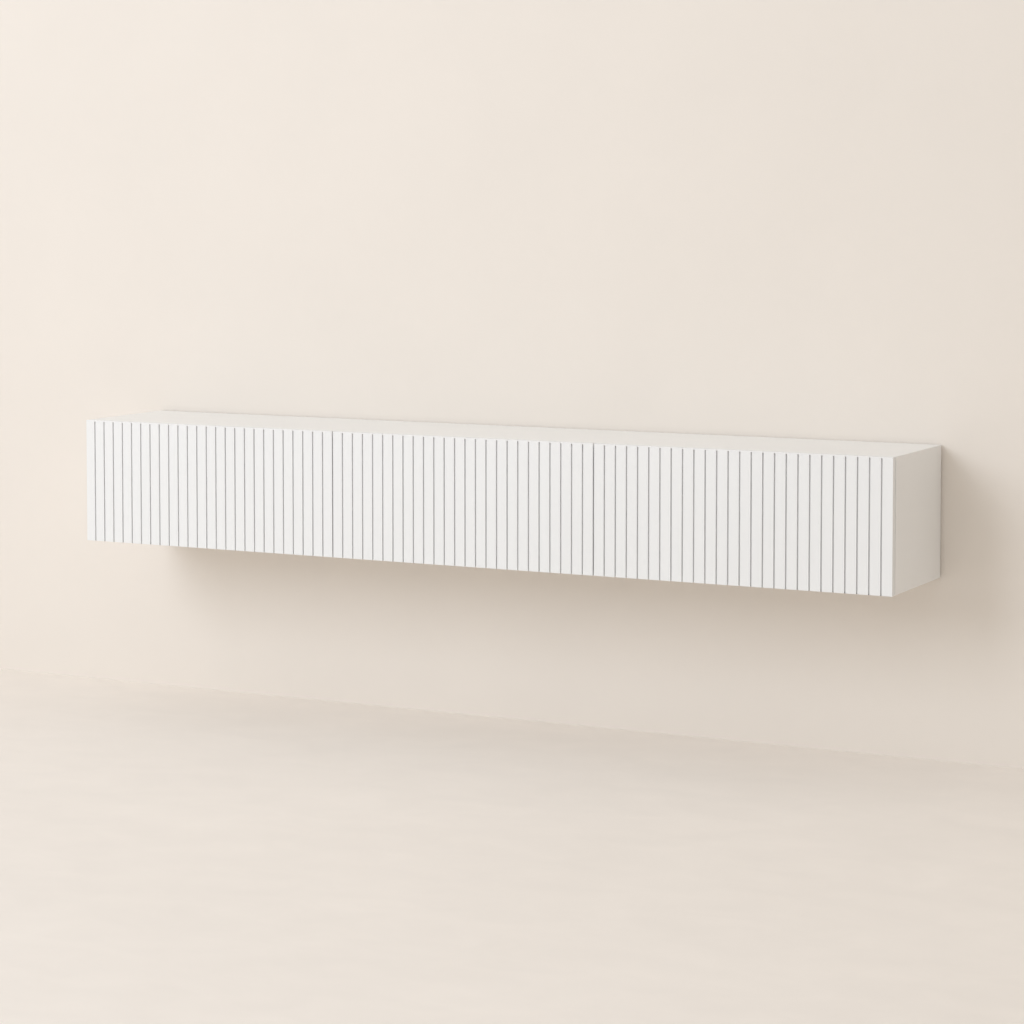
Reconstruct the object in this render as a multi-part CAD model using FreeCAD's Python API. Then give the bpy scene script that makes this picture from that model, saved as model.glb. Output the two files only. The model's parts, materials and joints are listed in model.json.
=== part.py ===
import FreeCAD, Part
import math
import os

# Floating media console with three grooved drop-down flaps, in millimetres.
# X runs along the wall, Y into the wall and Z up. The wall plane is Y = 0, and the
# origin is the middle of the wall rail's screw line.

# Overall size
console_width = 2100.0
console_height = 300.0
console_depth = 330.0
screw_line_drop = 69.0      # from the top face down to the rail's screw line
wall_gap = 5.0              # shadow gap between the wall and the carcass

# Boards
carcass_board = 18.0
back_board = 5.0
flap_board = 16.0
outer_arris = 1.0           # chamfer along the long outer edges

# Grooved front
outer_flap_slats = 26
middle_flap_slats = 25
groove_width = 3.2          # also the gap between two flaps
groove_depth = 6.0
groove_stop = 3.0           # unbroken rim above the grooves, along a flap's top
flap_reveal = 3.0           # gap between a closed flap and the carcass

# Carcass joints
joint_clearance = 0.05
spline_width = 13.0
spline_thickness = 4.0
spline_inset = 7.0          # along the mitre, from the inner corner
spline_stop = 12.0          # from the ends of the mitre
housing_depth = 6.0         # dividers are let into the top and bottom boards
housing_stop = 10.0
back_recess = 22.0          # from the wall plane to the back boards
back_groove_depth = 8.0
back_edge_clearance = 0.5

# Cable ways
cable_notch_height = 50.0
cable_notch_depth = 40.0
cable_notch_lift = 12.0
grommet_radius = 30.0
grommet_wall = 3.0
grommet_lip = 4.0
grommet_lip_thickness = 2.0
grommet_tail = 1.0          # how far the sleeve stands out behind the back board
grommet_lift = 52.0

# Flap hinges: a gooseneck plate on the carcass and a leaf on the flap
swing_clearance = 1.0       # between a turning flap's foot and the carcass
hinge_plate_thickness = 2.5
hinge_leaf_thickness = 2.0
hinge_pin_radius = 2.0
hinge_eye_radius = 4.0
hinge_running_fit = 0.06
hinge_press_fit = 0.02
hinge_floor_gap = 4.0
hinge_setback = 8.0
hinge_plate_length = 42.0
hinge_plate_height = 38.0
hinge_leaf_width = 24.0
hinge_leaf_height = 36.0
hinge_leaf_lift = 6.0
hinge_web_rise = 16.0
hinge_corner = 5.0
side_play = 0.3             # between flat parts that pass each other
mortise_clearance = 0.5

# Lid stays: damper, crank and link, a parallelogram with the flap
damper_setback = 141.0      # from the carcass front to the damper's spindle
damper_lift = 72.0          # from the floor board to the damper's spindle
damper_length = 48.0
damper_height = 40.0
damper_thickness = 14.0
damper_corner = 6.0
damper_back_wall = 4.0
spindle_radius = 4.0
spindle_fit = 0.08
crank_thickness = 3.0
crank_boss_radius = 8.0
link_thickness = 2.5
link_eye_radius = 6.5
stay_pin_radius = 2.5
stay_pin_fit = 0.06
stay_pin_end = 1.2          # how far the elbow's pin stands out of the link
stud_stand_off = 11.0       # from the flap's inner face to the stud
stud_lift = 97.0            # from the floor board to the stud
stay_bracket_thickness = 2.5
stay_bracket_width = 24.0
stay_bracket_height = 30.0
stay_web_height = 16.0

# Push latches
latch_width = 18.0
latch_length = 55.0
latch_height = 14.0
latch_setback = 1.5
latch_corner = 2.0
plunger_width = 8.0
plunger_height = 6.0
plunger_fit = 0.1
plunger_length = 28.0
plunger_stroke = 2.5
strike_thickness = 1.0
strike_width = 16.0
strike_height = 11.0
strike_gap = 0.3

# Wall rail
rail_sheet = 2.0
rail_half_leg = 16.0
rail_step = 9.0
rail_lip_height = 16.0
rail_end_gap = 6.0
rail_hole_radius = 3.5
rail_hole_count = 4
rail_end_inset = 66.0       # from the rail's ends to its outer holes

# Cabinet hangers
hanger_wall = 2.2
hanger_front_wall = 3.0
hanger_length = 56.0
hanger_height = 57.0
hanger_top_gap = 4.0
hook_width = 10.0
hook_neck = 9.0
hook_nose = 4.0
hook_reach = 11.0
hook_tail = 28.0
hook_front_gap = 4.0
hook_body_length = 44.0
hanger_screw_radius = 3.0
hanger_screw_fit = 0.2
hanger_slot_play = 3.0      # how far the adjusting screw can rise or sink with the hook
hanger_screw_head_radius = 4.5
hanger_screw_head_height = 3.0

# Wall buffers on the bottom board's rear edge
buffer_size = 14.0
buffer_end_inset = 60.0

# Places that follow from the sizes
slat_count = 2 * outer_flap_slats + middle_flap_slats
slat_pitch = (console_width + groove_width) / slat_count
half_width = console_width / 2
inner_half = half_width - carcass_board
seam = half_width - outer_flap_slats * slat_pitch + groove_width / 2
half_board = carcass_board / 2

top_face = screw_line_drop
underside = top_face - console_height
ceiling = top_face - carcass_board
floor_top = underside + carcass_board

flap_front = -console_depth
flap_inner = flap_front + flap_board
carcass_front = flap_inner + flap_reveal
carcass_rear = -wall_gap
back_rear = -back_recess
back_front = back_rear - back_board

pivot_y = flap_front + flap_board / 2
pivot_rise = carcass_front - pivot_y - swing_clearance
pivot_z = underside + pivot_rise

stud_y = flap_inner + stud_stand_off
stud_z = floor_top + stud_lift
spindle_y = carcass_front + damper_setback
spindle_z = floor_top + damper_lift
elbow_y = spindle_y + stud_y - pivot_y
elbow_z = spindle_z + stud_z - pivot_z

crank_near = damper_thickness + side_play
crank_far = crank_near + crank_thickness
link_near = crank_far + side_play
link_far = link_near + link_thickness
bracket_near = link_far + side_play

rail_half_length = inner_half - rail_end_gap
rail_hole_spacing = 2 * (rail_half_length - rail_end_inset) / (rail_hole_count - 1)
lip_top = rail_half_leg + rail_lip_height
hanger_width = 2 * hanger_wall + hook_width + 2 * side_play
hanger_top = ceiling - hanger_top_gap
hanger_front = back_front - hanger_length
hook_front = hanger_front + hanger_front_wall + hook_front_gap


def box(x_range, y_range, z_range):
    """A box between two places along each axis, given in either order."""
    spans = [sorted(r) for r in (x_range, y_range, z_range)]
    sizes = [high - low for low, high in spans]
    return Part.makeBox(*sizes, FreeCAD.Vector(*[low for low, high in spans]))


def prism(points, direction):
    """A closed outline of 3-D points, pushed along a direction."""
    corners = [FreeCAD.Vector(*p) for p in points]
    wire = Part.makePolygon(corners + corners[:1])
    return Part.Face(wire).extrude(FreeCAD.Vector(*direction))


def prism_x(points, x_range):
    """An outline in Y and Z, between two places along X."""
    low, high = sorted(x_range)
    return prism([(low, y, z) for y, z in points], (high - low, 0, 0))


def prism_y(points, y_range):
    """An outline in X and Z, between two places along Y."""
    low, high = sorted(y_range)
    return prism([(x, low, z) for x, z in points], (0, high - low, 0))


def prism_z(points, z_range):
    """An outline in X and Y, between two places along Z."""
    low, high = sorted(z_range)
    return prism([(x, y, low) for x, y in points], (0, 0, high - low))


def round_x(y, z, radius, x_range):
    """A round bar along X."""
    low, high = sorted(x_range)
    start = FreeCAD.Vector(low, y, z)
    return Part.makeCylinder(radius, high - low, start, FreeCAD.Vector(1, 0, 0))


def round_y(x, z, radius, y_range):
    """A round bar along Y."""
    low, high = sorted(y_range)
    start = FreeCAD.Vector(x, low, z)
    return Part.makeCylinder(radius, high - low, start, FreeCAD.Vector(0, 1, 0))


def joined(first, *others):
    """Several overlapping solids as one, with no seams left on its flat faces."""
    return first.fuse(list(others)).removeSplitter().Solids[0]


def mirrored(shape):
    """The same shape on the other side of the console's middle."""
    return shape.mirror(FreeCAD.Vector(0, 0, 0), FreeCAD.Vector(1, 0, 0))


def clipped_corners(y_range, z_range, corner):
    """A rectangle in Y and Z with its four corners cut off."""
    (y0, y1), (z0, z1) = sorted(y_range), sorted(z_range)
    return [
        (y0 + corner, z0), (y1 - corner, z0), (y1, z0 + corner), (y1, z1 - corner),
        (y1 - corner, z1), (y0 + corner, z1), (y0, z1 - corner), (y0, z0 + corner),
    ]


def off(face, side, near, far):
    """The places along X at two distances from an upright face, on the side it looks to."""
    return (face + side * near, face + side * far)


def save(node, *solids):
    shape = solids[0] if len(solids) == 1 else Part.makeCompound(list(solids))
    shape.exportStep(os.path.join("parts", node + ".step"))


# Carcass

def back_groove():
    """The frame-shaped groove that holds the back boards, as a ring to cut away."""
    reach = back_groove_depth
    ys = (back_front - joint_clearance, back_rear + joint_clearance)
    outer = box(
        (-inner_half - reach, inner_half + reach), ys, (floor_top - reach, ceiling + reach)
    )
    inner = box((-inner_half, inner_half), ys, (floor_top, ceiling))
    return outer.cut(inner)


def corner_spline(clearance):
    """The loose tongue across the mitre at the upper right corner."""
    half_span = spline_width / 2 + clearance
    half_thick = spline_thickness / 2 + clearance
    ys = (carcass_front + spline_stop - clearance, back_front - spline_stop + clearance)
    tongue = box((-half_span, half_span), ys, (-half_thick, half_thick))
    tongue.rotate(FreeCAD.Vector(0, 0, 0), FreeCAD.Vector(0, 1, 0), 45)
    step = spline_inset / math.sqrt(2)
    tongue.translate(FreeCAD.Vector(inner_half + step, 0, ceiling + step))
    return tongue


def corner_splines(clearance):
    """All four tongues, each turned over from the upper right one."""
    middle = FreeCAD.Vector(0, 0, (top_face + underside) / 2)
    upper = corner_spline(clearance)
    lower = upper.mirror(middle, FreeCAD.Vector(0, 0, 1))
    return [upper, mirrored(upper), lower, mirrored(lower)]


def divider_housing(x, z_range):
    """The stopped housing for one divider."""
    half = half_board + joint_clearance
    ys = (carcass_front + housing_stop - joint_clearance, back_front)
    return box((x - half, x + half), ys, z_range)


def level_board(outer_z, inner_z, away):
    """The top or bottom board, mitred at both ends."""
    edge, half_edge = outer_arris, outer_arris / 2
    right = [
        (half_width - edge, outer_z),
        (half_width - half_edge, outer_z - away * half_edge),
        (inner_half, inner_z),
    ]
    left = [(-x, z) for x, z in reversed(right)]
    board = prism_y(right + left, (carcass_front, carcass_rear))
    sunk = inner_z + away * (housing_depth + joint_clearance)
    housings = [divider_housing(x, (inner_z, sunk)) for x in (-seam, seam)]
    return board.cut([back_groove()] + corner_splines(joint_clearance) + housings)


def side_board():
    """The right side board, mitred at both ends."""
    edge, half_edge = outer_arris, outer_arris / 2
    points = [
        (inner_half, ceiling),
        (half_width - half_edge, top_face - half_edge),
        (half_width, top_face - edge),
        (half_width, underside + edge),
        (half_width - half_edge, underside + half_edge),
        (inner_half, floor_top),
    ]
    board = prism_y(points, (carcass_front, carcass_rear))
    return board.cut([back_groove()] + corner_splines(joint_clearance))


def divider(x):
    """An upright between two compartments, with a notch for cables at its rear edge."""
    stop = carcass_front + housing_stop
    low, high = floor_top - housing_depth, ceiling + housing_depth
    notch_low = floor_top + cable_notch_lift
    notch_high = notch_low + cable_notch_height
    notch_end = back_front - cable_notch_depth
    outline = [
        (carcass_front, floor_top), (stop, floor_top), (stop, low), (back_front, low),
        (back_front, notch_low), (notch_end, notch_low), (notch_end, notch_high),
        (back_front, notch_high), (back_front, high), (stop, high), (stop, ceiling),
        (carcass_front, ceiling),
    ]
    return prism_x(outline, (x - half_board, x + half_board))


def hook_window(face, side):
    """The hole in a back board where a hanger's hook passes."""
    xs = off(face, side, side_play, hanger_width)
    return box(xs, (back_front, back_rear), (lip_top - hook_reach, hanger_top))


def back_panel(x_range, grommet_x, windows):
    """A thin back board with its cable hole and the windows for the hangers."""
    reach = back_groove_depth - back_edge_clearance
    board = box(x_range, (back_front, back_rear), (floor_top - reach, ceiling + reach))
    hole = round_y(grommet_x, floor_top + grommet_lift, grommet_radius, (back_front, back_rear))
    return board.cut([hole] + windows)


def cable_grommet(x):
    """A flanged sleeve that lines the cable hole."""
    z = floor_top + grommet_lift
    lip_front = back_front - grommet_lip_thickness
    tail_end = back_rear + grommet_tail
    sleeve = round_y(x, z, grommet_radius - joint_clearance, (back_front, tail_end))
    lip = round_y(x, z, grommet_radius + grommet_lip, (lip_front, back_front))
    bore = round_y(x, z, grommet_radius - grommet_wall, (lip_front, tail_end))
    return joined(sleeve, lip).cut(bore)


def wall_buffer(x):
    """A rubber pad between the bottom board's rear edge and the wall."""
    half = buffer_size / 2
    z = underside + half_board
    return box((x - half, x + half), (carcass_rear, 0), (z - half, z + half))


# Hanging

def wall_rail():
    """The folded steel rail that is screwed to the wall."""
    web_low = rail_half_leg - rail_sheet
    outline = [
        (0, -rail_half_leg), (0, rail_half_leg), (rail_sheet - rail_step, rail_half_leg),
        (rail_sheet - rail_step, lip_top), (-rail_step, lip_top), (-rail_step, web_low),
        (-rail_sheet, web_low), (-rail_sheet, -rail_half_leg),
    ]
    rail = prism_x(outline, (-rail_half_length, rail_half_length))
    first = rail_end_inset - rail_half_length
    places = [first + n * rail_hole_spacing for n in range(rail_hole_count)]
    return rail.cut([round_y(x, 0, rail_hole_radius, (-rail_sheet, 0)) for x in places])


def hanger_screw_z():
    return lip_top - hook_tail / 2


def hanger_case(face, side):
    """The open-backed case that is fixed in an upper rear corner, slotted for its screw."""
    xs = off(face, side, 0, hanger_width)
    ys = (hanger_front, back_front)
    zs = (hanger_top - hanger_height, hanger_top)
    hollow = box(
        off(face, side, hanger_wall, hanger_width - hanger_wall),
        (hanger_front + hanger_front_wall, back_front),
        (zs[0] + hanger_front_wall, zs[1] - hanger_front_wall),
    )
    middle = hanger_width / 2
    half_slot = hanger_screw_radius + hanger_screw_fit
    half_rise = half_slot + hanger_slot_play
    slot = box(
        off(face, side, middle - half_slot, middle + half_slot),
        (hanger_front, hanger_front + hanger_front_wall),
        (hanger_screw_z() - half_rise, hanger_screw_z() + half_rise),
    )
    return box(xs, ys, zs).cut([hollow, slot])


def hanger_hook(face, side):
    """The hook that reaches through the back board and over the rail's lip."""
    body_end = hook_front + hook_body_length
    neck_top = lip_top + hook_neck
    tail = lip_top - hook_tail
    behind_lip = rail_sheet - rail_step + side_play
    outline = [
        (hook_front, tail), (hook_front, neck_top),
        (behind_lip + hook_nose, neck_top), (behind_lip + hook_nose, lip_top - hook_reach),
        (behind_lip, lip_top - hook_reach), (behind_lip, lip_top), (body_end, lip_top),
        (body_end, tail),
    ]
    near = hanger_wall + side_play
    return prism_x(outline, off(face, side, near, near + hook_width))


def hanger_screw(face, side):
    """The adjusting screw, with its six-sided head on the case and its tip on the hook."""
    x = face + side * hanger_width / 2
    z = hanger_screw_z()
    corners = [math.radians(60 * n) for n in range(6)]
    radius = hanger_screw_head_radius
    outline = [(x + radius * math.cos(a), z + radius * math.sin(a)) for a in corners]
    head = prism_y(outline, (hanger_front - hanger_screw_head_height, hanger_front))
    return joined(round_y(x, z, hanger_screw_radius, (hanger_front, hook_front)), head)


# Flaps and their hinges

def flap_panel(left, slats, ends):
    """A board with stopped grooves, a rounded foot and a mortise at each hinge."""
    right = left + slats * slat_pitch - groove_width
    rim_low = top_face - groove_stop
    outline = [(left, flap_inner), (left, flap_front)]
    for n in range(1, slats):
        groove_end = left + n * slat_pitch
        groove_start = groove_end - groove_width
        outline += [
            (groove_start, flap_front), (groove_start, flap_front + groove_depth),
            (groove_end, flap_front + groove_depth), (groove_end, flap_front),
        ]
    outline += [(right, flap_front), (right, flap_inner)]
    rim = box((left, right), (flap_front, flap_inner), (rim_low, top_face))
    board = joined(prism_z(outline, (underside, rim_low)), rim)
    foot = box((left, right), (pivot_y, flap_inner), (underside, pivot_z))
    foot = foot.cut(round_x(pivot_y, pivot_z, pivot_rise, (left, right)))
    return board.cut([foot] + [hinge_mortise(face, side) for face, side in ends])


def hinge_web_far():
    return hinge_plate_thickness + side_play + hinge_leaf_thickness


def hinge_web_top():
    return floor_top + hinge_web_rise


def hinge_mortise(face, side):
    """The slot in a flap's inner lower edge, where the hinge's eyes turn."""
    xs = off(face, side, -mortise_clearance, hinge_web_far() + mortise_clearance)
    deep = pivot_y - hinge_eye_radius - mortise_clearance
    return box(xs, (deep, flap_inner), (underside, hinge_web_top() + mortise_clearance))


def hinge_plate(face, side):
    """The carcass half of a hinge: a screwed plate with a gooseneck to the pivot."""
    xs = off(face, side, 0, hinge_plate_thickness)
    low = floor_top + hinge_floor_gap
    bar_top = low + 2 * hinge_eye_radius
    front = carcass_front + hinge_setback
    plate = prism_x(
        clipped_corners(
            (front, front + hinge_plate_length), (low, low + hinge_plate_height), hinge_corner
        ),
        xs,
    )
    reach = (pivot_y - hinge_eye_radius, front + 2 * hinge_corner)
    arm = box(xs, reach, (low, bar_top))
    neck = box(xs, (pivot_y - hinge_eye_radius, pivot_y + hinge_eye_radius), (pivot_z, bar_top))
    eye = round_x(pivot_y, pivot_z, hinge_eye_radius, xs)
    hole = round_x(pivot_y, pivot_z, hinge_pin_radius + hinge_running_fit, xs)
    return joined(plate, arm, neck, eye).cut(hole)


def hinge_leaf(face, side):
    """The flap half of a hinge: an angle with its web in the mortise."""
    near = hinge_plate_thickness + side_play
    web_xs = off(face, side, near, near + hinge_leaf_thickness)
    surface = flap_inner + hinge_leaf_thickness
    low = floor_top + hinge_leaf_lift
    outer, inner = pivot_y - hinge_eye_radius, pivot_y + hinge_eye_radius
    foot, clip = pivot_z - hinge_eye_radius, hinge_eye_radius / 2
    outline = [
        (outer + clip, foot), (outer, foot + clip), (outer, low),
        (flap_inner, hinge_web_top()), (surface, hinge_web_top()), (surface, low),
        (inner, pivot_z), (inner, foot + clip), (inner - clip, foot),
    ]
    web = prism_x(outline, web_xs)
    flange = box(
        off(face, side, near, near + hinge_leaf_width),
        (flap_inner, surface),
        (low, low + hinge_leaf_height),
    )
    hole = round_x(pivot_y, pivot_z, hinge_pin_radius + hinge_press_fit, web_xs)
    return joined(web, flange).cut(hole)


def hinge_pin(face, side):
    xs = off(face, side, -side_play, hinge_web_far() + side_play)
    return round_x(pivot_y, pivot_z, hinge_pin_radius, xs)


# Lid stays

def link_plate(start, start_radius, end, end_radius, x_range):
    """A flat bar with a round end about each of two points and straight sides between."""
    across, along = end[0] - start[0], end[1] - start[1]
    length = math.hypot(across, along)
    lean = math.acos((start_radius - end_radius) / length)
    heading = math.atan2(along, across)
    sides = []
    for turn in (lean, -lean):
        y_step, z_step = math.cos(heading + turn), math.sin(heading + turn)
        sides.append((start[0] + start_radius * y_step, start[1] + start_radius * z_step))
        sides.append((end[0] + end_radius * y_step, end[1] + end_radius * z_step))
    outline = [sides[0], sides[1], sides[3], sides[2]]
    rounds = [
        round_x(start[0], start[1], start_radius, x_range),
        round_x(end[0], end[1], end_radius, x_range),
    ]
    return joined(prism_x(outline, x_range), *rounds)


def stay_damper(face, side):
    """The damper's case, with a bore for the crank's spindle."""
    outline = clipped_corners(
        (spindle_y - damper_length / 2, spindle_y + damper_length / 2),
        (spindle_z - damper_height / 2, spindle_z + damper_height / 2),
        damper_corner,
    )
    case = prism_x(outline, off(face, side, 0, damper_thickness))
    bore = off(face, side, damper_back_wall - side_play, damper_thickness)
    return case.cut(round_x(spindle_y, spindle_z, spindle_radius + spindle_fit, bore))


def stay_crank(face, side):
    """The damper's arm with its spindle and the pin that carries the link."""
    arm = link_plate(
        (spindle_y, spindle_z), crank_boss_radius, (elbow_y, elbow_z), link_eye_radius,
        off(face, side, crank_near, crank_far),
    )
    spindle = round_x(
        spindle_y, spindle_z, spindle_radius, off(face, side, damper_back_wall, crank_far)
    )
    pin_end = link_far + stay_pin_end
    pin = round_x(elbow_y, elbow_z, stay_pin_radius, off(face, side, crank_near, pin_end))
    return joined(arm, spindle, pin)


def stay_link(face, side):
    """The flat link from the crank's pin to the stud on the flap."""
    xs = off(face, side, link_near, link_far)
    bar = link_plate(
        (elbow_y, elbow_z), link_eye_radius, (stud_y, stud_z), link_eye_radius, xs
    )
    radius = stay_pin_radius + stay_pin_fit
    holes = [round_x(elbow_y, elbow_z, radius, xs), round_x(stud_y, stud_z, radius, xs)]
    return bar.cut(holes)


def stay_bracket(face, side):
    """The angle on the flap with the stud that the link turns on."""
    surface = flap_inner + stay_bracket_thickness
    flange = box(
        off(face, side, bracket_near, bracket_near + stay_bracket_width),
        (flap_inner, surface),
        (stud_z - stay_bracket_height / 2, stud_z + stay_bracket_height / 2),
    )
    web_xs = off(face, side, bracket_near, bracket_near + stay_bracket_thickness)
    half_web = stay_web_height / 2
    web = prism_x(
        [
            (flap_inner, stud_z - half_web), (stud_y, stud_z - half_web),
            (stud_y + half_web, stud_z), (stud_y, stud_z + half_web),
            (flap_inner, stud_z + half_web),
        ],
        web_xs,
    )
    stud_xs = off(face, side, link_near, bracket_near + stay_bracket_thickness)
    return joined(flange, web, round_x(stud_y, stud_z, stay_pin_radius, stud_xs))


# Push latches

def latch_case(x):
    """The latch's case under the top board, bored for the plunger."""
    front = carcass_front + latch_setback
    low = ceiling - latch_height
    half = latch_width / 2
    outline = [
        (x - half, ceiling), (x - half, low + latch_corner), (x - half + latch_corner, low),
        (x + half - latch_corner, low), (x + half, low + latch_corner), (x + half, ceiling),
    ]
    case = prism_y(outline, (front, front + latch_length))
    bore_end = plunger_tip() + plunger_length + plunger_stroke + plunger_fit
    return case.cut(plunger_bar(x, (front, bore_end), plunger_fit))


def latch_axis_z():
    return ceiling - latch_height / 2


def plunger_tip():
    return flap_inner + strike_thickness + strike_gap


def plunger_bar(x, y_range, clearance):
    """A rectangular bar on the latch's axis, grown by a clearance on its four sides."""
    half = plunger_width / 2 + clearance
    rise = plunger_height / 2 + clearance
    z = latch_axis_z()
    return box((x - half, x + half), y_range, (z - rise, z + rise))


def latch_plunger(x):
    """The sprung plunger with its magnetic tip."""
    tip = plunger_tip()
    return plunger_bar(x, (tip, tip + plunger_length), 0)


def strike_plate(x):
    """The steel plate on the flap that the plunger's magnet holds."""
    half = strike_width / 2
    z = latch_axis_z()
    return box(
        (x - half, x + half),
        (flap_inner, flap_inner + strike_thickness),
        (z - strike_height / 2, z + strike_height / 2),
    )


# The whole console

def save_carcass():
    right_side = side_board()
    right_divider = divider(seam)
    save("top_panel", level_board(top_face, ceiling, 1))
    save("bottom_panel", level_board(underside, floor_top, -1))
    save("left_side_panel", mirrored(right_side))
    save("right_side_panel", right_side)
    save("left_divider", mirrored(right_divider))
    save("right_divider", right_divider)
    save("mitre_splines", *corner_splines(0))

    outer_edge = inner_half + back_groove_depth - back_edge_clearance
    seam_edge = seam + back_edge_clearance
    outer_middle = (inner_half + seam + half_board) / 2
    end_window = hook_window(inner_half, -1)
    seam_window = hook_window(seam - half_board, -1)
    right_back = back_panel((seam_edge, outer_edge), outer_middle, [end_window])
    inner_edge = seam - back_edge_clearance
    middle_windows = [seam_window, mirrored(seam_window)]
    save("left_back_panel", mirrored(right_back))
    save("middle_back_panel", back_panel((-inner_edge, inner_edge), 0, middle_windows))
    save("right_back_panel", right_back)
    save("cable_grommets", *[cable_grommet(s * outer_middle) for s in (-1, 0, 1)])

    buffer_places = (half_width - buffer_end_inset, seam)
    save("wall_buffers", *[wall_buffer(s * x) for x in buffer_places for s in (-1, 1)])


def save_hanging():
    hangers = (
        ("left_end", -inner_half, 1),
        ("left_inner", half_board - seam, 1),
        ("right_inner", seam - half_board, -1),
        ("right_end", inner_half, -1),
    )
    save("wall_rail", wall_rail())
    screws = []
    for name, face, side in hangers:
        save(name + "_hanger_case", hanger_case(face, side))
        save(name + "_hanger_hook", hanger_hook(face, side))
        screws.append(hanger_screw(face, side))
    save("hanger_adjusting_screws", *screws)


def save_flap(name, left, slats, ends, stay):
    """One flap with its hinges, stay and latch."""
    middle = left + (slats * slat_pitch - groove_width) / 2
    save(name + "_flap_panel", flap_panel(left, slats, ends))
    save(name + "_flap_hinge_plates", *[hinge_plate(*end) for end in ends])
    save(name + "_flap_hinge_leaves", *[hinge_leaf(*end) for end in ends])
    save(name + "_flap_hinge_pins", *[hinge_pin(*end) for end in ends])
    save(name + "_stay_damper", stay_damper(*stay))
    save(name + "_stay_crank", stay_crank(*stay))
    save(name + "_stay_link", stay_link(*stay))
    save(name + "_stay_bracket", stay_bracket(*stay))
    save(name + "_latch_case", latch_case(middle))
    save(name + "_latch_plunger", latch_plunger(middle))
    save(name + "_strike_plate", strike_plate(middle))


def save_flaps():
    seam_outer = seam + half_board
    seam_inner = seam - half_board
    half_gap = groove_width / 2
    left_end = (-inner_half, 1)
    right_end = (inner_half, -1)
    save_flap("left", -half_width, outer_flap_slats, [left_end, (-seam_outer, -1)], left_end)
    middle_ends = [(-seam_inner, 1), (seam_inner, -1)]
    save_flap("middle", half_gap - seam, middle_flap_slats, middle_ends, middle_ends[0])
    save_flap("right", seam + half_gap, outer_flap_slats, [(seam_outer, 1), right_end], right_end)


os.makedirs("parts", exist_ok=True)
save_carcass()
save_hanging()
save_flaps()
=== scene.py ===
import json
import math

import bmesh
import bpy
from bpy.props import FloatProperty, FloatVectorProperty, IntProperty, PointerProperty
from mathutils import Matrix, Vector


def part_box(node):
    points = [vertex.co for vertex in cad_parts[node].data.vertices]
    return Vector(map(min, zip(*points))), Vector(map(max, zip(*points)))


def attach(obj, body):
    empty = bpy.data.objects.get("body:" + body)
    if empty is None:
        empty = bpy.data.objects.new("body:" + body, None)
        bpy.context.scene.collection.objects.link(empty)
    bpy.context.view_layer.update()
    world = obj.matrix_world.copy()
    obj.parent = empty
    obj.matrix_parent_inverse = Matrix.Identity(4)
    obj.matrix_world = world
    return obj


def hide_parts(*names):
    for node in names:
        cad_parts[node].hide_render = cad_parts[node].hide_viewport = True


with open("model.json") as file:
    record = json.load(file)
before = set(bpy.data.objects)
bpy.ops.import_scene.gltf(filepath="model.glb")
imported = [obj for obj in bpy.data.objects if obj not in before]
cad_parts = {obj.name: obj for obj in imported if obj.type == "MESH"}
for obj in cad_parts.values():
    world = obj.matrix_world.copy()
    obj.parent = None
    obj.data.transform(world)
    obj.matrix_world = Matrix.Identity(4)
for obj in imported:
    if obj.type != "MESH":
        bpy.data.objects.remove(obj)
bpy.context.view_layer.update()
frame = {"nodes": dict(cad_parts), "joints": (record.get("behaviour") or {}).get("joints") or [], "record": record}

bl_info = {
    "name": "Floating Media Console",
    "version": (1, 0, 0),
    "blender": (4, 5, 0),
    "location": "3D View > Sidebar > Console",
    "description": "Models the grooved flaps, eased boards and fittings of a wall-hung console",
    "category": "Add Mesh",
}

# What the frame says of the console

NODES = frame["nodes"]
SLOT_OF = {part["node"]: part["material_slot"] for part in frame["record"]["subparts"]}
BODY_OF = {node: body for body, group in frame["record"]["behaviour"]["bodies"].items() for node in group}
PIVOT_OF = {joint["name"]: Vector(joint["pos_m"]) for joint in frame["joints"] if "pos_m" in joint}

LEFT_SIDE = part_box("left_side_panel")[1].x
LEFT_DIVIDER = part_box("left_divider")
RIGHT_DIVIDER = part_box("right_divider")
RIGHT_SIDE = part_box("right_side_panel")[0].x
FLOOR_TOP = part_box("bottom_panel")[1].z

# For each flap: the upright face at its left end and at its right end, as a place along X and the
# way that the face looks, and which of the two carries the lid stay
FLAP_ENDS = {
    "left": ((LEFT_SIDE, 1), (LEFT_DIVIDER[0].x, -1)),
    "middle": ((LEFT_DIVIDER[1].x, 1), (RIGHT_DIVIDER[0].x, -1)),
    "right": ((RIGHT_DIVIDER[1].x, 1), (RIGHT_SIDE, -1)),
}
STAY_END = {"left": 0, "middle": 0, "right": 1}

# For each hanger: the upright face that it is screwed to, in the same way
HANGER_FACE = {
    "left_end": (LEFT_SIDE, 1),
    "left_inner": (LEFT_DIVIDER[1].x, 1),
    "right_inner": (RIGHT_DIVIDER[0].x, -1),
    "right_end": (RIGHT_SIDE, -1),
}

TOUCHING = 1e-5  # metres within which two places are the same
FACING = 0.9  # cosine past which a face looks along an axis
IN_LINE = 0.999  # cosine past which an edge runs along an axis
FLAT = math.radians(1)  # faces that meet at a smaller angle are one face
GOLDEN_TURN = math.radians(137.5)  # from one screw head to the next, so that no two stop alike


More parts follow.
